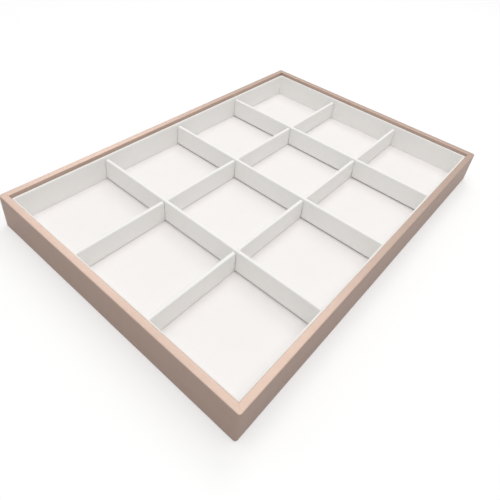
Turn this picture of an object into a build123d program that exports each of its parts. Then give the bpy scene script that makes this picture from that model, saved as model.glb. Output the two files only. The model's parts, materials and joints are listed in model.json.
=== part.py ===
# Bracelet organizer tray, 350 x 240 x 30 mm, with twelve open compartments.
#
# The frame is four fibreboard rails on a base board, covered by one strip of leatherette that turns in
# under the base and down inside the rails. White liner walls stand inside the frame, with a white floor
# pad between them. Two long dividers and three cross dividers are slotted into each other like an egg
# crate, and the grid stands loose on the floor, so it lifts out.
#
# Millimetres. +X runs along the length, +Y to the back and +Z up. The origin is the centre of the
# underside.

import os

from build123d import *

# Whole tray
LENGTH = 350.0
WIDTH = 240.0
HEIGHT = 30.0
CELLS_ALONG = 4
CELLS_ACROSS = 3

# Frame rails and the boards under them
RAIL_THICKNESS = 4.4
RAIL_EDGE_RADIUS = 0.15
BASE_THICKNESS = 2.0
UNDERSIDE_THICKNESS = 0.3
UNDERSIDE_MARGIN = 5.0

# Frame covering
WRAP_THICKNESS = 0.5
CORNER_RADIUS = 2.0
WRAP_TOP_RADIUS = 0.6
WRAP_FOLD_RADIUS = 0.6
WRAP_TURN_DOWN = 14.0
WRAP_TURN_UNDER = 12.0
WRAP_SEAM_X = -128.0
WRAP_SEAM_GAP = 0.05
MITRE_GAP = 0.12
MITRE_START = 1.5

# Liner walls
LINER_THICKNESS = 2.2
LINER_RECESS = 3.3
LINER_COVER = 0.4
LINER_TURN_DOWN = 12.0
LINER_RIM_RADIUS = 0.5

# Floor pad
FLOOR_BOARD_THICKNESS = 0.6
FLOOR_COVER = 0.4
FLOOR_GAP = 0.1
FLOOR_EDGE_RADIUS = 0.15

# Dividers
DIVIDER_THICKNESS = 3.0
DIVIDER_HEIGHT = 19.6
DIVIDER_COVER = 0.4
DIVIDER_TOP_RADIUS = 1.0
DIVIDER_END_RADIUS = 1.2
SLOT_MOUTH_RADIUS = 0.9
SLOT_CLEARANCE = 0.4
END_CLEARANCE = 0.3
CROSS_LIFT = 1.0

# Heights from the underside up
WRAP_BOTTOM = UNDERSIDE_THICKNESS
BASE_BOTTOM = WRAP_BOTTOM + WRAP_THICKNESS
BASE_TOP = BASE_BOTTOM + BASE_THICKNESS
FLOOR_BOARD_TOP = BASE_TOP + FLOOR_BOARD_THICKNESS
FLOOR_TOP = FLOOR_BOARD_TOP + FLOOR_COVER
RAIL_TOP = HEIGHT - WRAP_THICKNESS
LINER_TOP = HEIGHT - LINER_RECESS
WRAP_INNER_EDGE = HEIGHT - WRAP_TURN_DOWN

# Plan sizes from the outside in
CORE_LENGTH = LENGTH - 2 * WRAP_THICKNESS
CORE_WIDTH = WIDTH - 2 * WRAP_THICKNESS
CORE_RADIUS = CORNER_RADIUS - WRAP_THICKNESS
RAIL_IN_LENGTH = CORE_LENGTH - 2 * RAIL_THICKNESS
RAIL_IN_WIDTH = CORE_WIDTH - 2 * RAIL_THICKNESS
FRAME_WALL = RAIL_THICKNESS + 2 * WRAP_THICKNESS
FRAME_IN_LENGTH = LENGTH - 2 * FRAME_WALL
FRAME_IN_WIDTH = WIDTH - 2 * FRAME_WALL
FOLD_IN_LENGTH = LENGTH - 2 * WRAP_TURN_UNDER
FOLD_IN_WIDTH = WIDTH - 2 * WRAP_TURN_UNDER
WELL_LENGTH = FRAME_IN_LENGTH - 2 * LINER_THICKNESS
WELL_WIDTH = FRAME_IN_WIDTH - 2 * LINER_THICKNESS

# Divider grid: equal compartments, half-laps that leave the cross dividers hanging CROSS_LIFT up
CELL_X = (WELL_LENGTH - (CELLS_ALONG - 1) * DIVIDER_THICKNESS) / CELLS_ALONG
CELL_Y = (WELL_WIDTH - (CELLS_ACROSS - 1) * DIVIDER_THICKNESS) / CELLS_ACROSS
CROSS_X = [(i + 1 - CELLS_ALONG / 2) * (CELL_X + DIVIDER_THICKNESS) for i in range(CELLS_ALONG - 1)]
LONG_Y = [(i + 1 - CELLS_ACROSS / 2) * (CELL_Y + DIVIDER_THICKNESS) for i in range(CELLS_ACROSS - 1)]
SLOT_DEPTH = (DIVIDER_HEIGHT - CROSS_LIFT) / 2
SLOT_WIDTH = DIVIDER_THICKNESS + 2 * SLOT_CLEARANCE

STANDING = (Align.CENTER, Align.CENTER, Align.MIN)
SITTING = (Align.CENTER, Align.MIN)
NEAR = 0.01


def block(length, width, low, high):
    """A box centred on the origin in plan, between two heights."""
    return Pos(0, 0, low) * Box(length, width, high - low, align=STANDING)


def rounded_block(length, width, radius, low, high):
    """A box with rounded upright corners, between two heights."""
    return Pos(0, 0, low) * extrude(RectangleRounded(length, width, radius), high - low)


def level_edges(shape, height):
    """All the edges of a shape that lie at one height."""
    return shape.edges().filter_by_position(Axis.Z, height - NEAR, height + NEAR)


def rail_ring():
    """The four rails before they are cut apart, with slightly eased top edges."""
    ring = rounded_block(CORE_LENGTH, CORE_WIDTH, CORE_RADIUS, BASE_TOP, RAIL_TOP)
    ring -= block(RAIL_IN_LENGTH, RAIL_IN_WIDTH, 0, HEIGHT)
    return fillet(level_edges(ring, RAIL_TOP), RAIL_EDGE_RADIUS)


def mitre_wedge(angle, distance, half_length):
    """A prism round one rail, whose 45 degree sides pass through the tray's corners."""
    tip = distance - half_length
    base = distance + FRAME_WALL
    outline = Polyline((tip, 0), (base, base - tip), (base, tip - base), close=True)
    return Rot(0, 0, angle) * extrude(make_face(outline), HEIGHT)


def side_wedges():
    """A prism for each side of the tray, which cuts that side out with mitred ends."""
    end = (LENGTH / 2, WIDTH / 2)
    side = (WIDTH / 2, LENGTH / 2)
    places = {"right": (0, *end), "back": (90, *side), "left": (180, *end), "front": (270, *side)}
    return {name: mitre_wedge(*place) for name, place in places.items()}


def rails():
    """The rails on the four sides, mitred where they meet."""
    ring = rail_ring()
    return {f"rail_{name}": ring & wedge for name, wedge in side_wedges().items()}


def base_board():
    """The board that the rails and the liner walls stand on."""
    return rounded_block(CORE_LENGTH, CORE_WIDTH, CORE_RADIUS, BASE_BOTTOM, BASE_TOP)


def mitre_slit(side_x, side_y):
    """The cut where the covering is trimmed to fold over a corner, on the top and down inside."""
    inset = MITRE_START + FRAME_WALL / 2
    corner = Pos(side_x * (LENGTH / 2 - inset), side_y * (WIDTH / 2 - inset), WRAP_INNER_EDGE)
    cut = Box(2 ** 0.5 * FRAME_WALL, MITRE_GAP, WRAP_TURN_DOWN, align=STANDING)
    return corner * Rot(0, 0, 45 * side_x * side_y) * cut


def frame_wrap():
    """The leatherette strip: under the base, up outside, over the top and down inside the rails."""
    strip = rounded_block(LENGTH, WIDTH, CORNER_RADIUS, WRAP_BOTTOM, HEIGHT)
    strip = fillet(level_edges(strip, WRAP_BOTTOM), WRAP_FOLD_RADIUS)
    strip -= block(FRAME_IN_LENGTH, FRAME_IN_WIDTH, BASE_BOTTOM, HEIGHT)
    strip = fillet(level_edges(strip, HEIGHT), WRAP_TOP_RADIUS)
    strip -= block(FOLD_IN_LENGTH, FOLD_IN_WIDTH, 0, BASE_BOTTOM)
    strip -= rounded_block(CORE_LENGTH, CORE_WIDTH, CORE_RADIUS, BASE_BOTTOM, WRAP_INNER_EDGE)
    strip -= rail_ring()
    strip -= Pos(WRAP_SEAM_X, WIDTH / 2, 0) * Box(WRAP_SEAM_GAP, 4 * WRAP_TURN_UNDER, HEIGHT, align=STANDING)
    for side_x in (-1, 1):
        for side_y in (-1, 1):
            strip -= mitre_slit(side_x, side_y)
    return strip


def underside_sheet():
    """The sheet under the base: thin where it laps the turned-in covering, thicker between."""
    lap_length = LENGTH - 2 * UNDERSIDE_MARGIN
    lap_width = WIDTH - 2 * UNDERSIDE_MARGIN
    lap = block(lap_length, lap_width, 0, UNDERSIDE_THICKNESS)
    return lap + block(FOLD_IN_LENGTH, FOLD_IN_WIDTH, 0, BASE_BOTTOM)


def liner_wall(length):
    """A covered wall along X, with its inner face at Y = 0 and its covering turned down behind."""
    stand = Pos(0, LINER_THICKNESS / 2, BASE_TOP)
    tall = LINER_TOP - BASE_TOP
    whole = stand * Box(length, LINER_THICKNESS, tall, align=STANDING)
    whole = fillet(level_edges(whole, LINER_TOP).filter_by(Axis.X), LINER_RIM_RADIUS)
    board = stand * Box(length, LINER_THICKNESS - 2 * LINER_COVER, tall - LINER_COVER, align=STANDING)
    behind = Pos(0, LINER_THICKNESS, BASE_TOP)
    bare_back = behind * Box(length, 2 * LINER_COVER, tall - LINER_TURN_DOWN, align=STANDING)
    return {"board": board, "cover": whole - board - bare_back}


def liner_walls():
    """The four walls inside the frame, mitred where they meet."""
    sides = {
        "front": (180, WELL_WIDTH / 2, FRAME_IN_LENGTH),
        "back": (0, WELL_WIDTH / 2, FRAME_IN_LENGTH),
        "left": (90, WELL_LENGTH / 2, FRAME_IN_WIDTH),
        "right": (270, WELL_LENGTH / 2, FRAME_IN_WIDTH),
    }
    wedges = side_wedges()
    pieces = {}
    for side, (angle, distance, length) in sides.items():
        for layer, solid in liner_wall(length).items():
            placed = Rot(0, 0, angle) * Pos(0, distance, 0) * solid
            pieces[f"liner_{layer}_{side}"] = placed & wedges[side]
    return pieces


def floor_pad():
    """The pad between the liner walls: a board, and a covering turned down round its edges."""
    length = WELL_LENGTH - 2 * FLOOR_GAP
    width = WELL_WIDTH - 2 * FLOOR_GAP
    board = block(length - 2 * FLOOR_COVER, width - 2 * FLOOR_COVER, BASE_TOP, FLOOR_BOARD_TOP)
    whole = block(length, width, BASE_TOP, FLOOR_TOP)
    whole = fillet(level_edges(whole, FLOOR_TOP), FLOOR_EDGE_RADIUS)
    return {"floor_board": board, "floor_cover": whole - board}


def top_corners(outline, height):
    """The corners of a flat outline that lie at one height."""
    return outline.vertices().filter_by_position(Axis.Y, height - NEAR, height + NEAR)


def slotted_side(length, height, slots, slots_up, mouth_radius, end_radius):
    """A divider's side outline with its slots, as a plate thicker than any divider."""
    outline = Rectangle(length, height, align=SITTING)
    slot_low = DIVIDER_HEIGHT - SLOT_DEPTH if slots_up else -SLOT_DEPTH
    for place in slots:
        outline -= Pos(place, slot_low) * Rectangle(SLOT_WIDTH, 2 * SLOT_DEPTH, align=SITTING)
    ends = [v for v in top_corners(outline, height) if abs(v.X) > length / 2 - NEAR]
    outline = fillet(ends, end_radius)
    mouths = [v for v in top_corners(outline, height) if abs(v.X) < length / 2 - 2 * end_radius]
    if mouths:
        outline = fillet(mouths, mouth_radius)
    return extrude(Plane.XZ * outline, DIVIDER_THICKNESS, both=True)


def slotted_bar(inset, length, slots, slots_up):
    """A divider drawn this far inside its outer faces, with rounded top edges, ends and slot mouths."""
    long = length - 2 * inset
    tall = DIVIDER_HEIGHT - inset
    bar = Box(long, DIVIDER_THICKNESS - 2 * inset, tall, align=STANDING)
    bar = fillet(level_edges(bar, tall).filter_by(Axis.X), DIVIDER_TOP_RADIUS - inset)
    mouth_radius = SLOT_MOUTH_RADIUS + 2 * inset
    end_radius = DIVIDER_END_RADIUS - inset
    return bar & slotted_side(long, tall, slots, slots_up, mouth_radius, end_radius)


def divider(length, slots, slots_up):
    """A divider along X: the board, and the covering over both faces, the top and the ends."""
    whole = slotted_bar(0, length, slots, slots_up)
    board = slotted_bar(DIVIDER_COVER, length, slots, slots_up)
    return {"board": board, "cover": whole - board}


def dividers():
    """Two long dividers slotted from above, and three cross dividers slotted from below."""
    pieces = {}
    long_layers = divider(WELL_LENGTH - 2 * END_CLEARANCE, CROSS_X, True)
    for place, y in zip(("front", "back"), LONG_Y):
        for layer, solid in long_layers.items():
            pieces[f"long_divider_{layer}_{place}"] = Pos(0, y, FLOOR_TOP) * solid
    cross_layers = divider(WELL_WIDTH - 2 * END_CLEARANCE, LONG_Y, False)
    for place, x in zip(("left", "middle", "right"), CROSS_X):
        stand = Pos(x, 0, FLOOR_TOP + CROSS_LIFT) * Rot(0, 0, 90)
        for layer, solid in cross_layers.items():
            pieces[f"cross_divider_{layer}_{place}"] = stand * solid
    return pieces


def tray():
    """Every piece of the tray, by name."""
    pieces = rails()
    pieces["base_board"] = base_board()
    pieces["frame_wrap"] = frame_wrap()
    pieces["underside_sheet"] = underside_sheet()
    pieces.update(liner_walls())
    pieces.update(floor_pad())
    pieces.update(dividers())
    return pieces


os.makedirs("parts", exist_ok=True)
for name, solid in tray().items():
    export_step(solid, f"parts/{name}.step")
print(f"compartments {CELL_X:.2f} x {CELL_Y:.2f} mm, {LINER_TOP - FLOOR_TOP:.1f} mm deep to the liner's rim")
print(f"cross dividers at X {[round(x, 2) for x in CROSS_X]}, long dividers at Y {[round(y, 2) for y in LONG_Y]}")
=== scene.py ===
"""A bracelet organizer tray: a beige leatherette frame, white lined walls and a lift-out divider grid.

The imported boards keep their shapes. The leatherette coverings over them are modelled here as thin sheets
with rounded folds, cut slots, mitred corners and the slight unevenness of glued covering. Metres.
"""
import json
import math

import bmesh
import bpy
from mathutils import Matrix, Vector, noise


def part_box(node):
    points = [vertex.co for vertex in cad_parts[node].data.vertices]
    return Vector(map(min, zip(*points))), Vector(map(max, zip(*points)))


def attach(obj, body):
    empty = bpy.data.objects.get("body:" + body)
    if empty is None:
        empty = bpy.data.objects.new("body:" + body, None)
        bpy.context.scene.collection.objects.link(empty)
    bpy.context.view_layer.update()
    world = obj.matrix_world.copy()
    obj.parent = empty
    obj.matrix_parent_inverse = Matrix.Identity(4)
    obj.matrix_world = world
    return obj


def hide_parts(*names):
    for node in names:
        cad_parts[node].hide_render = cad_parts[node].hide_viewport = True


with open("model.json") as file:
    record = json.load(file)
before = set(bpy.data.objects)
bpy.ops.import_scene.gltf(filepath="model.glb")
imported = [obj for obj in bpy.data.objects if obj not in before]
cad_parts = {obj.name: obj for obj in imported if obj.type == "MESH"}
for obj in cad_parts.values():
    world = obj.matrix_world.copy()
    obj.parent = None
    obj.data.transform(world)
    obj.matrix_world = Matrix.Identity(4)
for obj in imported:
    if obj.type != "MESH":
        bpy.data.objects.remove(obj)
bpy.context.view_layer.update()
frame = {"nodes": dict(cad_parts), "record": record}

MM = 0.001

# Camera, measured from the photograph's straight edges
CAMERA_PLACE = Vector((-277.7, -182.4, 271.8)) * MM
CAMERA_AIM = Vector((-7.0, 16.4, 15.0)) * MM
CAMERA_ROLL = math.radians(6.85)
LENS = 34.35
SENSOR = 36.0
SHIFT_X = 0.005
SHIFT_Y = -0.139
CLIP_START = 0.01

# Light: the sky as it is seen and as it lights, then round lamps with place, width and power in watts
SKY_SEEN = 1.0
SKY_LIGHT = 0.55
LAMPS = {
    "overhead_lamp": (Vector((-0.20, -0.20, 1.75)), 1.8, 13.8),
    "back_lamp": (Vector((0.60, 1.20, 1.17)), 1.0, 6.2),
    "right_lamp": (Vector((0.90, 0.38, 1.50)), 0.8, 4.4),
}
GLOSS_ONLY_LAMPS = ("back_lamp",)

# Stage floor: white where it is seen, and dark for the light that bounces off it
STAGE_SIZE = 8.0
STAGE_WHITE = (0.60, 0.60, 0.60, 1)
STAGE_GLOW = 0.42
STAGE_BOUNCE = (0.06, 0.06, 0.06, 1)

# Frame covering
WRAP_THICKNESS = 0.5 * MM
WRAP_FOLD_RADIUS = 0.6 * MM
WRAP_TOP_RADIUS = 0.6 * MM
WRAP_CORNER_RADIUS = 2.0 * MM
WRAP_INNER_RADIUS = 0.3 * MM
WRAP_TURN_DOWN = 14.0 * MM
WRAP_TURN_UNDER = 12.0 * MM
SEAM_ALONG = 128.0 * MM
SEAM_GAP = 0.05 * MM
MITRE_DEPTH = 0.08 * MM
MITRE_START = 1.5 * MM
MITRE_REACH = 25.0 * MM
CORNER_STEPS = 10
HALFWAY_ROUND = 0.5

# White coverings
COVER_THICKNESS = 0.4 * MM
LINER_TURN_DOWN = 12.0 * MM
LINER_RIM_RADIUS = 0.5 * MM
LINER_CORNER_LAP = 0.06 * MM
FLOOR_EDGE_RADIUS = 0.15 * MM
PRESS_DEPTH = 0.08 * MM
PRESS_BLEND = 0.6 * MM
DIVIDER_TOP_RADIUS = 1.0 * MM
DIVIDER_END_RADIUS = 1.2 * MM
DIVIDER_EDGE_RADIUS = 0.5 * MM
DIVIDER_COVER_TRIM = 0.3 * MM
SLOT_MOUTH_RADIUS = 0.9 * MM
SLOT_CLEARANCE = 0.4 * MM

# Waves in the glued coverings: height and length, the finer ripple on them, and each kind's first seed
WRAP_WAVES = (0.06 * MM, 35 * MM)
UPRIGHT_WAVES = (0.05 * MM, 30 * MM)
FLOOR_WAVES = (0.08 * MM, 40 * MM)
RIPPLE_SHARE = 0.35
RIPPLE_FINENESS = 4
SEEDS = {"frame": 1, "floor": 6, "liner": 10, "long_divider": 20, "cross_divider": 30}

# Meshes
MESH_STEP = 3.0 * MM
SHARP_ANGLE = math.radians(35)

# The frame's sides, counted anticlockwise, and each liner wall's turn in degrees from the back wall
RIGHT, BACK, LEFT, FRONT = range(4)
LINER_TURNS = {"front": 180, "back": 0, "left": 90, "right": 270}
LONG_DIVIDERS = ("front", "back")
CROSS_DIVIDERS = ("left", "middle", "right")


def middle_of(node, axis):
    """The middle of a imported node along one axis."""
    low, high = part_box(node)
    return (low[axis] + high[axis]) / 2


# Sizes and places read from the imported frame
WRAP_LOW, WRAP_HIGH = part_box("frame_wrap")
HALF_LENGTH, HALF_WIDTH = WRAP_HIGH[0], WRAP_HIGH[1]
RAIL_LOW, RAIL_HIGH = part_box("rail_front")
FRAME_WALL = RAIL_HIGH[1] - RAIL_LOW[1] + 2 * WRAP_THICKNESS
LONG_PLACES = [middle_of(f"long_divider_board_{which}", 1) for which in LONG_DIVIDERS]
CROSS_PLACES = [middle_of(f"cross_divider_board_{which}", 0) for which in CROSS_DIVIDERS]
LAP_HEIGHT = (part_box("long_divider_cover_front")[1][2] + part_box("cross_divider_cover_left")[0][2]) / 2

# Linear colours
BEIGE = (0.500, 0.379, 0.317)
# Painted shade for the beige grain's grooves
BEIGE_GROOVE_SHADE = (0.450, 0.334, 0.274)
WHITE_FLOOR = (0.895, 0.866, 0.859)
WHITE_WALL = (0.907, 0.898, 0.876)
# Painted shade for the white grain's grooves
WHITE_GROOVE_SHADE = (0.850, 0.836, 0.808)
CLOTH_BACK = (0.62, 0.58, 0.52)
WHITE_BACK = (0.72, 0.70, 0.66)
FIBREBOARD = (0.34, 0.23, 0.13)
FIBREBOARD_DARK = (0.20, 0.13, 0.07)
HARDBOARD = (0.22, 0.13, 0.07)
HARDBOARD_DARK = (0.12, 0.07, 0.035)
GREY_BOARD = (0.30, 0.28, 0.25)
GREY_BOARD_DARK = (0.17, 0.155, 0.135)
FLOCK = (0.42, 0.32, 0.27)
FLOCK_DARK = (0.30, 0.225, 0.19)

# Leatherette grain: scales, widths and sizes count in cells, and shares are how strongly an effect shows
BEND_SCALE = 0.35
BEND_REACH = 1.6
SLOPE_WIDTH = 0.35
# Painted shade in the grooves: how far it reaches in from a cell's edge, and how strongly it darkens.
GROOVE_SHADE_WIDTH = 0.25
GROOVE_SHADE_SHARE = 0.45
RIDGE_SHARE = 0.75
GRIT_SHARE = 0.25
GRIT_SCALE = 3.5
PATCH_CELLS = 14
MOTTLE_SHARE = 0.5
SPECKLE_SHARE = 0.35
GROOVE_ROUGHNESS = 0.15
SATIN = {"Metallic": 0.50, "Specular IOR Level": 0.10, "Specular Tint": (0.72, 0.66, 0.65, 1.0)}

# Board, cloth backing and flock
BOARD_ROUGHNESS = 0.85
CLOUD_GRAINS = 20
CLOUD_LIGHT = 1.12
CLOUD_SHARE = 0.5
LAYERED = (1.0, 1.0, 3.0)
UNLAYERED = (1.0, 1.0, 1.0)
CLOTH_ROUGHNESS = 0.95
THREAD_PITCH = 0.35 * MM
THREAD_SHARE = 0.3
THREAD_DEPTH = 0.03 * MM
THREAD_SHADE = 0.8
FUZZ_SIZE = 0.2 * MM
FIBRE_SIZE = 0.25 * MM
FIBRE_DEPTH = 0.08 * MM
BRUSH_SIZE = 18 * MM
BRUSH_SHARE = 0.35
SHEEN = {"Sheen Weight": 0.35, "Sheen Roughness": 0.5}

# Each leatherette's darker colour for its grooves is painted shade.
LEATHERETTES = {
    "beige_leatherette": {"colour": BEIGE, "groove": BEIGE_GROOVE_SHADE, "cell": 0.45 * MM, "depth": 0.012 * MM,
                          "roughness": 0.30, "mottle": 0.04, **SATIN},
    "white_covering": {"colour": WHITE_WALL, "groove": WHITE_GROOVE_SHADE, "cell": 0.5 * MM, "depth": 0.015 * MM,
                       "roughness": 0.62, "mottle": 0.012},
    "white_floor_covering": {"colour": WHITE_FLOOR, "groove": WHITE_GROOVE_SHADE, "cell": 0.5 * MM,
                             "depth": 0.015 * MM, "roughness": 0.70, "mottle": 0.010},
}
BOARDS = {
    "frame_fibreboard": {"colour": FIBREBOARD, "dark": FIBREBOARD_DARK, "grain": 0.5 * MM,
                         "stretch": LAYERED, "depth": 0.05 * MM},
    "base_hardboard": {"colour": HARDBOARD, "dark": HARDBOARD_DARK, "grain": 0.4 * MM,
                       "stretch": LAYERED, "depth": 0.03 * MM},
    "grey_board": {"colour": GREY_BOARD, "dark": GREY_BOARD_DARK, "grain": 0.35 * MM,
                   "stretch": UNLAYERED, "depth": 0.04 * MM},
}
BACKINGS = {
    "beige_leatherette_back": CLOTH_BACK,
    "white_covering_back": WHITE_BACK,
    "white_floor_covering_back": WHITE_BACK,
}


def place_camera():
    """The photograph's viewpoint, with the tilt that it was held at."""
    camera = bpy.data.objects.new("camera", bpy.data.cameras.new("camera"))
    bpy.context.scene.collection.objects.link(camera)
    turn = (CAMERA_AIM - CAMERA_PLACE).to_track_quat("-Z", "Y").to_matrix().to_4x4()
    camera.matrix_world = Matrix.Translation(CAMERA_PLACE) @ turn @ Matrix.Rotation(CAMERA_ROLL, 4, "Z")
    camera.data.sensor_fit = "HORIZONTAL"
    camera.data.sensor_width = SENSOR
    camera.data.lens = LENS
    camera.data.shift_x = SHIFT_X
    camera.data.shift_y = SHIFT_Y
    camera.data.clip_start = CLIP_START
    bpy.context.scene.camera = camera


class Graph:
    """Short calls for adding and joining shader nodes."""

    def __init__(self, tree):
        self.tree = tree

    def fill(self, socket, value):
        """Joins another node's output to a socket, or sets the socket's own value."""
        if hasattr(value, "is_output"):
            self.tree.links.new(value, socket)
        else:
            socket.default_value = value

    def add(self, kind, inputs=None, **settings):
        node = self.tree.nodes.new(kind)
        for key, value in settings.items():
            setattr(node, key, value)
        for key, value in (inputs or {}).items():
            self.fill(node.inputs[key], value)
        return node

    def math(self, operation, first, second=0.0):
        return self.add("ShaderNodeMath", {0: first, 1: second}, operation=operation).outputs[0]

    def vector(self, operation, first, second):
        return self.add("ShaderNodeVectorMath", {0: first, 1: second}, operation=operation).outputs[0]

    def ramp(self, value, low, high, to_low=0.0, to_high=1.0):
        inputs = {"Value": value, "From Min": low, "From Max": high, "To Min": to_low, "To Max": to_high}
        return self.add("ShaderNodeMapRange", inputs, clamp=True).outputs["Result"]

    def mix(self, share, first, second):
        node = self.add("ShaderNodeMix", {"Factor": share}, data_type="RGBA")
        sockets = {socket.name: socket for socket in node.inputs if socket.type == "RGBA"}
        for name, value in (("A", first), ("B", second)):
            self.fill(sockets[name], value if hasattr(value, "is_output") else (*value, 1))
        return next(socket for socket in node.outputs if socket.type == "RGBA")

    def noise(self, place, scale, detail=2.0, roughness=0.5):
        inputs = {"Vector": place, "Scale": scale, "Detail": detail, "Roughness": roughness}
        return self.add("ShaderNodeTexNoise", inputs).outputs["Fac"]

    def cells(self, place, scale, feature):
        return self.add("ShaderNodeTexVoronoi", {"Vector": place, "Scale": scale}, feature=feature)


def seen_directly(graph):
    """1 for camera, mirror and see-through rays, and 0 for light that bounces on."""
    path = graph.add("ShaderNodeLightPath")
    mirrored = graph.math("MAXIMUM", path.outputs["Is Camera Ray"], path.outputs["Is Glossy Ray"])
    return graph.math("MAXIMUM", mirrored, path.outputs["Is Transmission Ray"])


def light_the_stage():
    """An even sky, soft lamps of which one adds gloss alone, and a white floor that keeps the shadow."""
    world = bpy.data.worlds.new("studio")
    bpy.context.scene.world = world
    world.use_nodes = True
    graph = Graph(world.node_tree)
    strength = graph.ramp(seen_directly(graph), 0.0, 1.0, SKY_LIGHT, SKY_SEEN)
    background = world.node_tree.nodes["Background"]
    background.inputs["Color"].default_value = (1, 1, 1, 1)
    world.node_tree.links.new(strength, background.inputs["Strength"])

    for name, (place, width, power) in LAMPS.items():
        lamp = bpy.data.objects.new(name, bpy.data.lights.new(name, "AREA"))
        bpy.context.scene.collection.objects.link(lamp)
        lamp.data.shape = "DISK"
        lamp.data.size = width
        lamp.data.energy = power
        lamp.visible_diffuse = name not in GLOSS_ONLY_LAMPS
        lamp.location = place
        lamp.rotation_euler = (-place).to_track_quat("-Z", "Y").to_euler()

    bpy.ops.mesh.primitive_plane_add(size=STAGE_SIZE, location=(0, 0, 0))
    floor = bpy.context.object
    floor.name = "floor"
    material = bpy.data.materials.new("floor")
    material.use_nodes = True
    material.node_tree.nodes.clear()
    graph = Graph(material.node_tree)
    bounce = graph.add("ShaderNodeBsdfDiffuse", {"Color": STAGE_BOUNCE}).outputs[0]
    white = graph.add("ShaderNodeBsdfDiffuse", {"Color": STAGE_WHITE}).outputs[0]
    glow = graph.add("ShaderNodeEmission", {"Strength": STAGE_GLOW}).outputs[0]
    seen = graph.add("ShaderNodeAddShader", {0: white, 1: glow}).outputs[0]
    mixed = graph.add("ShaderNodeMixShader", {0: seen_directly(graph), 1: bounce, 2: seen}).outputs[0]
    graph.add("ShaderNodeOutputMaterial", {"Surface": mixed})
    floor.data.materials.append(material)


def new_material(name, roughness, **sockets):
    """A material with one shader, its uniform values set on the shader's own sockets."""
    material = bpy.data.materials.new(name)
    material.use_nodes = True
    material.node_tree.nodes.clear()
    graph = Graph(material.node_tree)
    shader = graph.add("ShaderNodeBsdfPrincipled", {"Roughness": roughness, **sockets})
    graph.add("ShaderNodeOutputMaterial", {"Surface": shader.outputs[0]})
    place = graph.add("ShaderNodeTexCoord").outputs["Object"]
    return material, graph, shader, place


def finish_material(graph, shader, colour, height, depth, roughness=None):
    """Joins a colour, a bump of this depth and, where it varies, the roughness to the shader."""
    graph.fill(shader.inputs["Base Color"], colour)
    if roughness is not None:
        graph.fill(shader.inputs["Roughness"], roughness)
    bump = graph.add("ShaderNodeBump", {"Height": height, "Distance": depth, "Strength": 1.0})
    graph.fill(shader.inputs["Normal"], bump.outputs[0])


def shaded(colour, factor):
    """A colour made lighter or darker by a factor."""
    return tuple(min(1.0, channel * factor) for channel in colour)


def leatherette(name, colour, groove, cell, depth, roughness, mottle, **sockets):
    """Embossed leatherette: irregular small cells with painted shade in the fine grooves between them,
    mottled over a few millimetres.
    """
    material, graph, shader, place = new_material(name, roughness, **sockets)
    wander = graph.add("ShaderNodeTexNoise", {"Vector": place, "Scale": BEND_SCALE / cell, "Detail": 2.0})
    centred = graph.vector("SUBTRACT", wander.outputs["Color"], (0.5, 0.5, 0.5))
    bend = graph.add("ShaderNodeVectorMath", {0: centred, "Scale": BEND_REACH * cell}, operation="SCALE")
    bent = graph.vector("ADD", place, bend.outputs[0])
    edge = graph.cells(bent, 1 / cell, "DISTANCE_TO_EDGE").outputs["Distance"]
    cells = graph.cells(bent, 1 / cell, "F1").outputs["Color"]
    speckle = graph.add("ShaderNodeSeparateColor", {"Color": cells}).outputs[0]
    grit = graph.noise(place, GRIT_SCALE / cell)
    patches = graph.noise(place, 1 / (PATCH_CELLS * cell), detail=3.0, roughness=0.6)

    darker = shaded(colour, 1 - mottle)
    lighter = shaded(colour, 1 + mottle)
    # Painted shade: the colour darkens towards the grooves between the cells.
    groove_shaded = graph.mix(graph.ramp(edge, 0.0, GROOVE_SHADE_WIDTH, GROOVE_SHADE_SHARE, 0.0), colour, groove)
    mottled = graph.mix(graph.ramp(patches, 0.35, 0.65), darker, lighter)
    tone = graph.mix(MOTTLE_SHARE, groove_shaded, mottled)
    tone = graph.mix(graph.ramp(speckle, 0.0, 1.0, 0.0, SPECKLE_SHARE), tone, darker)

    ridge = graph.ramp(edge, 0.0, SLOPE_WIDTH)
    rise = graph.math("MULTIPLY", ridge, RIDGE_SHARE)
    height = graph.math("ADD", rise, graph.math("MULTIPLY", grit, GRIT_SHARE))
    gloss = graph.ramp(ridge, 0.0, 1.0, min(1.0, roughness + GROOVE_ROUGHNESS), roughness)
    finish_material(graph, shader, tone, height, depth, gloss)
    return material


def pressed_fibre(name, colour, dark, grain, stretch, depth):
    """Board pressed from fibres: short dark and pale flecks, which lie along a layered sheet."""
    material, graph, shader, place = new_material(name, BOARD_ROUGHNESS)
    flecks = graph.noise(graph.vector("MULTIPLY", place, stretch), 1 / grain, detail=4.0, roughness=0.7)
    clouds = graph.noise(place, 1 / (CLOUD_GRAINS * grain))
    tone = graph.mix(graph.ramp(flecks, 0.30, 0.62), dark, colour)
    paler = shaded(colour, CLOUD_LIGHT)
    tone = graph.mix(graph.ramp(clouds, 0.40, 0.70, 0.0, CLOUD_SHARE), tone, paler)
    finish_material(graph, shader, tone, flecks, depth)
    return material


def cloth_backing(name, colour):
    """The thin knitted cloth that the leatherette film is bonded to, seen on cut edges."""
    material, graph, shader, place = new_material(name, CLOTH_ROUGHNESS)
    axes = graph.add("ShaderNodeSeparateXYZ", {"Vector": place})
    total = graph.math("ADD", axes.outputs[0], graph.math("ADD", axes.outputs[1], axes.outputs[2]))
    threads = graph.math("SINE", graph.math("MULTIPLY", total, 2 * math.pi / THREAD_PITCH))
    fuzz = graph.noise(place, 1 / FUZZ_SIZE, detail=3.0)
    height = graph.math("ADD", graph.math("MULTIPLY", threads, THREAD_SHARE), fuzz)
    tone = graph.mix(graph.ramp(height, 0.2, 0.9), shaded(colour, THREAD_SHADE), colour)
    finish_material(graph, shader, tone, height, THREAD_DEPTH)
    return material


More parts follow.
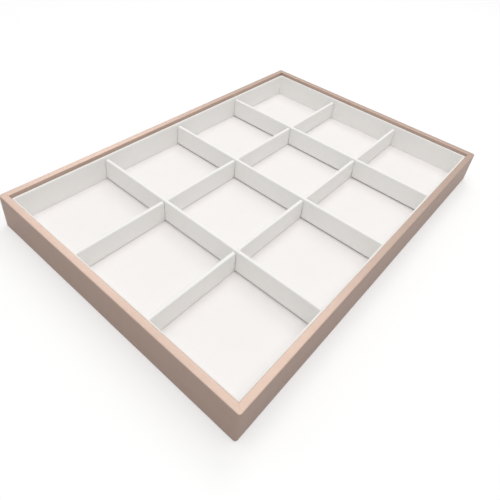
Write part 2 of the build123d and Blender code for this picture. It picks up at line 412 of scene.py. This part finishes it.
def flocked(name, colour, dark):
    """A sheet with short upright fibres."""
    material, graph, shader, place = new_material(name, CLOTH_ROUGHNESS, **SHEEN)
    fibres = graph.noise(place, 1 / FIBRE_SIZE, detail=4.0, roughness=0.75)
    brushed = graph.noise(place, 1 / BRUSH_SIZE, detail=3.0, roughness=0.6)
    tone = graph.mix(graph.ramp(fibres, 0.3, 0.7), dark, colour)
    tone = graph.mix(graph.ramp(brushed, 0.35, 0.75, 0.0, BRUSH_SHARE), tone, dark)
    finish_material(graph, shader, tone, fibres, FIBRE_DEPTH)
    return material


def make_looks():
    """The finish of every material slot, and the cloth backing of every covering."""
    made = {name: leatherette(name, **look) for name, look in LEATHERETTES.items()}
    made |= {name: pressed_fibre(name, **look) for name, look in BOARDS.items()}
    made |= {name: cloth_backing(name, colour) for name, colour in BACKINGS.items()}
    made["underside_flock"] = flocked("underside_flock", FLOCK, FLOCK_DARK)
    return made


def dress_boards():
    """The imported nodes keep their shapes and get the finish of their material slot."""
    slots = {part["node"]: part["material_slot"] for part in frame["record"]["subparts"]}
    for name, node in frame["nodes"].items():
        node.data.materials.clear()
        node.data.materials.append(looks[slots[name]])


def spread(start, end, step=MESH_STEP):
    """Evenly spaced places from start up to, but without, end."""
    count = max(1, round(abs(end - start) / step))
    return [start + (end - start) * i / count for i in range(count)]


def arc(centre, radius, start, end, steps=6):
    """Points of an arc, with both ends, from one angle in degrees to another."""
    angles = [math.radians(start + (end - start) * i / steps) for i in range(steps + 1)]
    return [(centre[0] + radius * math.cos(a), centre[1] + radius * math.sin(a)) for a in angles]


def drop(distance, radius):
    """How far a rounded edge has fallen away, this far in from the face that it runs into."""
    inside = max(radius - distance, 0.0)
    return radius - math.sqrt(radius ** 2 - inside ** 2)


def edge_places(radius, steps=5):
    """Distances in from a face at which a rounded edge turns by equal angles."""
    return [radius * (1 - math.cos(math.pi / 2 * i / steps)) for i in range(steps + 1)]


def sheet_mesh(rows, keep=lambda row, column: True, capped=False):
    """A mesh over a grid of points, row by row, with optional holes and closed ends."""
    mesh = bmesh.new()
    grid = [[mesh.verts.new(point) for point in row] for row in rows]
    last = len(grid[0]) - 1
    for i in range(len(grid) - 1):
        for j in range(last):
            if keep(i, j):
                mesh.faces.new((grid[i][j], grid[i][j + 1], grid[i + 1][j + 1], grid[i + 1][j]))
    if capped:
        for i in range(len(grid) // 2 - 1):
            far = len(grid) - 1 - i
            mesh.faces.new((grid[i][0], grid[i + 1][0], grid[far - 1][0], grid[far][0]))
            mesh.faces.new((grid[far][last], grid[far - 1][last], grid[i + 1][last], grid[i][last]))
    loose = [v for v in mesh.verts if not v.link_faces]
    bmesh.ops.delete(mesh, geom=loose, context="VERTS")
    mesh.normal_update()
    return mesh, grid


def uneven(mesh, waves, seed, only_in=False):
    """The slight waves of a glued covering, with a finer ripple on them, in and out or only in."""
    height, length = waves
    shift = Vector((1.0, 2.0, 3.0)) * seed
    moves = []
    for vert in mesh.verts:
        place = vert.co / length + shift
        wave = noise.noise(place) + RIPPLE_SHARE * noise.noise(RIPPLE_FINENESS * place)
        moves.append(vert.normal * height * (-abs(wave) if only_in else wave))
    for vert, move in zip(mesh.verts, moves):
        vert.co += move


def finish_covering(mesh, name, thickness, body, node, slot):
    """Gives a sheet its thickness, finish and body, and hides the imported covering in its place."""
    data = bpy.data.meshes.new(name)
    mesh.to_mesh(data)
    mesh.free()
    piece = bpy.data.objects.new(name, data)
    bpy.context.scene.collection.objects.link(piece)
    data.materials.append(looks[slot])
    data.materials.append(looks[f"{slot}_back"])
    shell = piece.modifiers.new("thickness", "SOLIDIFY")
    shell.thickness = thickness
    shell.offset = -1.0
    shell.material_offset = 1
    shell.material_offset_rim = 1
    graph = bpy.context.evaluated_depsgraph_get()
    piece.data = bpy.data.meshes.new_from_object(piece.evaluated_get(graph))
    piece.modifiers.clear()
    piece.data.shade_smooth()
    piece.data.set_sharp_from_angle(angle=SHARP_ANGLE)
    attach(piece, body)
    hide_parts(node)


def side_axes(side):
    """A frame side's outward and onward directions, and its half sizes across and along."""
    outward = Vector((math.cos(side * math.pi / 2), math.sin(side * math.pi / 2), 0))
    onward = Vector((-outward.y, outward.x, 0))
    half = (HALF_LENGTH, HALF_WIDTH) if side in (RIGHT, LEFT) else (HALF_WIDTH, HALF_LENGTH)
    return outward, onward, *half


def frame_point(station, inset, height):
    """A point this far inside the frame's outer faces, on a side or part of the way round a corner.

    Near a corner the places along a side close up, because the inner side is shorter.
    """
    side, along, turn = station
    outward, onward, across, half = side_axes(side)
    radius = max(WRAP_CORNER_RADIUS - inset, WRAP_INNER_RADIUS)
    corner = half - inset - radius
    if turn is None:
        straight = half - WRAP_CORNER_RADIUS - MITRE_REACH
        past = max(abs(along) - straight, 0.0) / MITRE_REACH
        if past > 0:
            along = math.copysign(straight + past * (corner - straight), along)
        return outward * (across - inset) + onward * along + Vector((0, 0, height))
    angle = (side + turn) * math.pi / 2
    centre = outward * (across - inset - radius) + onward * corner
    return centre + Vector((radius * math.cos(angle), radius * math.sin(angle), height))


def frame_stations():
    """Places once round the frame, from one edge of the seam in the back to its other edge."""
    corners = [side_axes(side)[3] - WRAP_CORNER_RADIUS for side in range(4)]
    seam_end = SEAM_ALONG - SEAM_GAP / 2
    stations = [(BACK, along, None) for along in spread(SEAM_ALONG + SEAM_GAP / 2, corners[BACK])]
    for side in (BACK, LEFT, FRONT, RIGHT):
        stations += [(side, corners[side], i / CORNER_STEPS) for i in range(CORNER_STEPS + 1)]
        following = (side + 1) % 4
        last = seam_end if following == BACK else corners[following]
        stations += [(following, along, None) for along in spread(-corners[following], last)[1:]]
    return stations + [(BACK, seam_end, None)]


def frame_profile(bottom, top):
    """A cut across the strip, as insets and heights: under the base, up, over the top and down inside."""
    fold, edge = WRAP_FOLD_RADIUS, WRAP_TOP_RADIUS
    profile = [(inset, bottom) for inset in spread(WRAP_TURN_UNDER, fold)]
    profile += arc((fold, bottom + fold), fold, 270, 180)
    profile += [(0, height) for height in spread(bottom + fold, top - edge)[1:]]
    profile += arc((edge, top - edge), edge, 180, 90)
    profile += [(inset, top) for inset in spread(edge, FRAME_WALL - edge, MESH_STEP / 4)[1:]]
    profile += arc((FRAME_WALL - edge, top - edge), edge, 90, 0)
    profile += [(FRAME_WALL, height) for height in spread(top - edge, top - WRAP_TURN_DOWN)[1:]]
    return profile + [(FRAME_WALL, top - WRAP_TURN_DOWN)]


def frame_covering():
    """The leatherette strip round all four rails, pressed in a little along its mitred corners."""
    bottom, top = WRAP_LOW[2], WRAP_HIGH[2]
    profile = frame_profile(bottom, top)
    stations = frame_stations()
    rows = [[frame_point(station, inset, height) for station in stations] for inset, height in profile]
    mesh, grid = sheet_mesh(rows)
    mitred = [turn == HALFWAY_ROUND for side, along, turn in stations]
    creases = []
    for (inset, height), row in zip(profile, grid):
        share = min(max((inset - MITRE_START) / FRAME_WALL, 0.0), 1.0) ** 0.5
        if height > top - WRAP_TURN_DOWN:
            creases += [(vert, -vert.normal * MITRE_DEPTH * share) for vert, on in zip(row, mitred) if on]
    uneven(mesh, WRAP_WAVES, SEEDS["frame"])
    for vert, move in creases:
        vert.co += move
    finish_covering(mesh, "frame_covering", WRAP_THICKNESS, "tray", "frame_wrap", "beige_leatherette")


def upright_sizes(node, turned):
    """A wall's or divider's length, thickness, bottom and top, and the matrix that sets it in place."""
    low, high = (Vector(corner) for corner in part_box(node))
    middle = (low + high) / 2
    size = high - low
    along, across = (size.y, size.x) if turned % 180 else (size.x, size.y)
    place = Matrix.Translation((middle.x, middle.y, 0)) @ Matrix.Rotation(math.radians(turned), 4, "Z")
    return along, across, low.z, high.z, place


def liner_covering(side, turned, seed):
    """The white covering of one liner wall: up its inner face, over the rim and down behind it."""
    node = f"liner_cover_{side}"
    along, across, bottom, top, place = upright_sizes(node, turned)
    edge = LINER_RIM_RADIUS
    inner, outer = -across / 2, across / 2
    profile = [(inner, height) for height in spread(bottom, top - edge)]
    profile += arc((inner + edge, top - edge), edge, 180, 90)
    profile += arc((outer - edge, top - edge), edge, 90, 0)
    profile += [(outer, height) for height in spread(top - edge, top - LINER_TURN_DOWN)[1:]]
    profile += [(outer, top - LINER_TURN_DOWN)]
    shares = spread(-1.0, 1.0, MESH_STEP / (along / 2)) + [1.0]
    rows = []
    for y, height in profile:
        mitred_half = along / 2 + LINER_CORNER_LAP - (outer - y)
        rows.append([place @ Vector((share * mitred_half, y, height)) for share in shares])
    mesh, grid = sheet_mesh(rows)
    uneven(mesh, UPRIGHT_WAVES, seed, only_in=True)
    finish_covering(mesh, f"liner_covering_{side}", COVER_THICKNESS, "tray", node, "white_covering")


def floor_line(start, end, stops, thickness):
    """Places across the floor pad, each with how far the covering has fallen away towards the edges."""
    edges = edge_places(FLOOR_EDGE_RADIUS)
    falls = [drop(e, FLOOR_EDGE_RADIUS) for e in edges]
    inner = [start + edges[-1], *stops, end - edges[-1]]
    run = [place for a, b in zip(inner, inner[1:]) for place in spread(a, b, 2 * MESH_STEP)]
    line = [(start, thickness)] + [(start + e, fall) for e, fall in zip(edges, falls)]
    line += [(place, 0.0) for place in run[1:]]
    line += [(end - e, fall) for e, fall in zip(reversed(edges), reversed(falls))]
    return line + [(end, thickness)]


def floor_covering():
    """The floor pad's covering, turned down round its edges and pressed a little where the grid stands."""
    low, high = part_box("floor_cover")
    stops = []
    pressed = set()
    for which in LONG_DIVIDERS:
        near, far = (corner[1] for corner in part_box(f"long_divider_cover_{which}"))
        stops += [near - PRESS_BLEND, near, far, far + PRESS_BLEND]
        pressed |= {near, far}
    along = floor_line(low[0], high[0], [], high[2] - low[2])
    across = floor_line(low[1], high[1], stops, high[2] - low[2])
    rows = []
    for y, fall_y in across:
        press = PRESS_DEPTH if y in pressed else 0.0
        rows.append([(x, y, high[2] - max(fall_x, fall_y, press)) for x, fall_x in along])
    mesh, grid = sheet_mesh(rows)
    uneven(mesh, FLOOR_WAVES, SEEDS["floor"], only_in=True)
    finish_covering(mesh, "floor_covering", COVER_THICKNESS, "tray", "floor_cover", "white_floor_covering")


def divider_columns(half, slots, mouth_radius):
    """Places along a divider, each with how far its top edge and its faces have rounded away there."""
    ends = sorted(set(edge_places(DIVIDER_END_RADIUS) + edge_places(DIVIDER_EDGE_RADIUS)))
    mouths = edge_places(mouth_radius) if mouth_radius else [0.0]
    places = [-half + e for e in ends]
    for low, high in slots:
        places += spread(places[-1], low - mouths[-1])[1:]
        places += [low - e for e in reversed(mouths)] + [(low + high) / 2] + [high + e for e in mouths]
    places += spread(places[-1], half - ends[-1])[1:]
    places += [half - e for e in reversed(ends)]
    columns = []
    for x in places:
        falls = [drop(half - abs(x), DIVIDER_END_RADIUS)]
        if mouth_radius:
            falls += [drop(min(abs(x - low), abs(x - high)), mouth_radius) for low, high in slots]
        columns.append((x, max(falls), drop(half - abs(x), DIVIDER_EDGE_RADIUS)))
    return columns


def divider_profile(thick, bottom, top, fall, shrink):
    """One cut across a divider's covering: up one face, over the rounded top and down the other."""
    half, radius = thick / 2 - shrink, DIVIDER_TOP_RADIUS
    shoulder = top - radius
    full, squeezed = shoulder - LAP_HEIGHT, shoulder - fall - LAP_HEIGHT
    heights = spread(bottom, LAP_HEIGHT)
    heights += [LAP_HEIGHT + (h - LAP_HEIGHT) * squeezed / full for h in spread(LAP_HEIGHT, shoulder)]
    rise = [(-half, h) for h in heights]
    rise += [(y, h - fall) for y, h in arc((radius - half, shoulder), radius, 180, 90)]
    return rise + [(-y, h) for y, h in reversed(rise)]


def divider_covering(kind, which, body, turned, crossing, seed):
    """A divider's covering over both faces, the top and the ends, with its slots cut out."""
    node = f"{kind}_cover_{which}"
    along, thick, bottom, top, place = upright_sizes(node, turned)
    from_above = kind == "long_divider"
    width = thick + 2 * SLOT_CLEARANCE
    slots = [(centre - width / 2, centre + width / 2) for centre in crossing]
    columns = divider_columns(along / 2, slots, SLOT_MOUTH_RADIUS if from_above else 0.0)
    trimmed = bottom + DIVIDER_COVER_TRIM
    profiles = [divider_profile(thick, trimmed, top, fall, shrink) for x, fall, shrink in columns]
    rows = [[place @ Vector((x, *profile[i])) for (x, *_), profile in zip(columns, profiles)]
            for i in range(len(profiles[0]))]

    def keep(row, column):
        middle = (columns[column][0] + columns[column + 1][0]) / 2
        height = (rows[row][column].z + rows[row + 1][column].z) / 2
        cut = any(low < middle < high for low, high in slots)
        return not (cut and (height > LAP_HEIGHT) == from_above)

    mesh, grid = sheet_mesh(rows, keep, capped=True)
    uneven(mesh, UPRIGHT_WAVES, seed, only_in=True)
    finish_covering(mesh, f"{kind}_covering_{which}", COVER_THICKNESS, body, node, "white_covering")


place_camera()
light_the_stage()
looks = make_looks()
dress_boards()
frame_covering()
for seed, (side, turned) in enumerate(LINER_TURNS.items(), SEEDS["liner"]):
    liner_covering(side, turned, seed)
floor_covering()
for seed, which in enumerate(LONG_DIVIDERS, SEEDS["long_divider"]):
    divider_covering("long_divider", which, "long_dividers", 0, CROSS_PLACES, seed)
for seed, which in enumerate(CROSS_DIVIDERS, SEEDS["cross_divider"]):
    divider_covering("cross_divider", which, f"cross_divider_{which}", 90, LONG_PLACES, seed)

bpy.context.scene.view_settings.view_transform = "Standard"
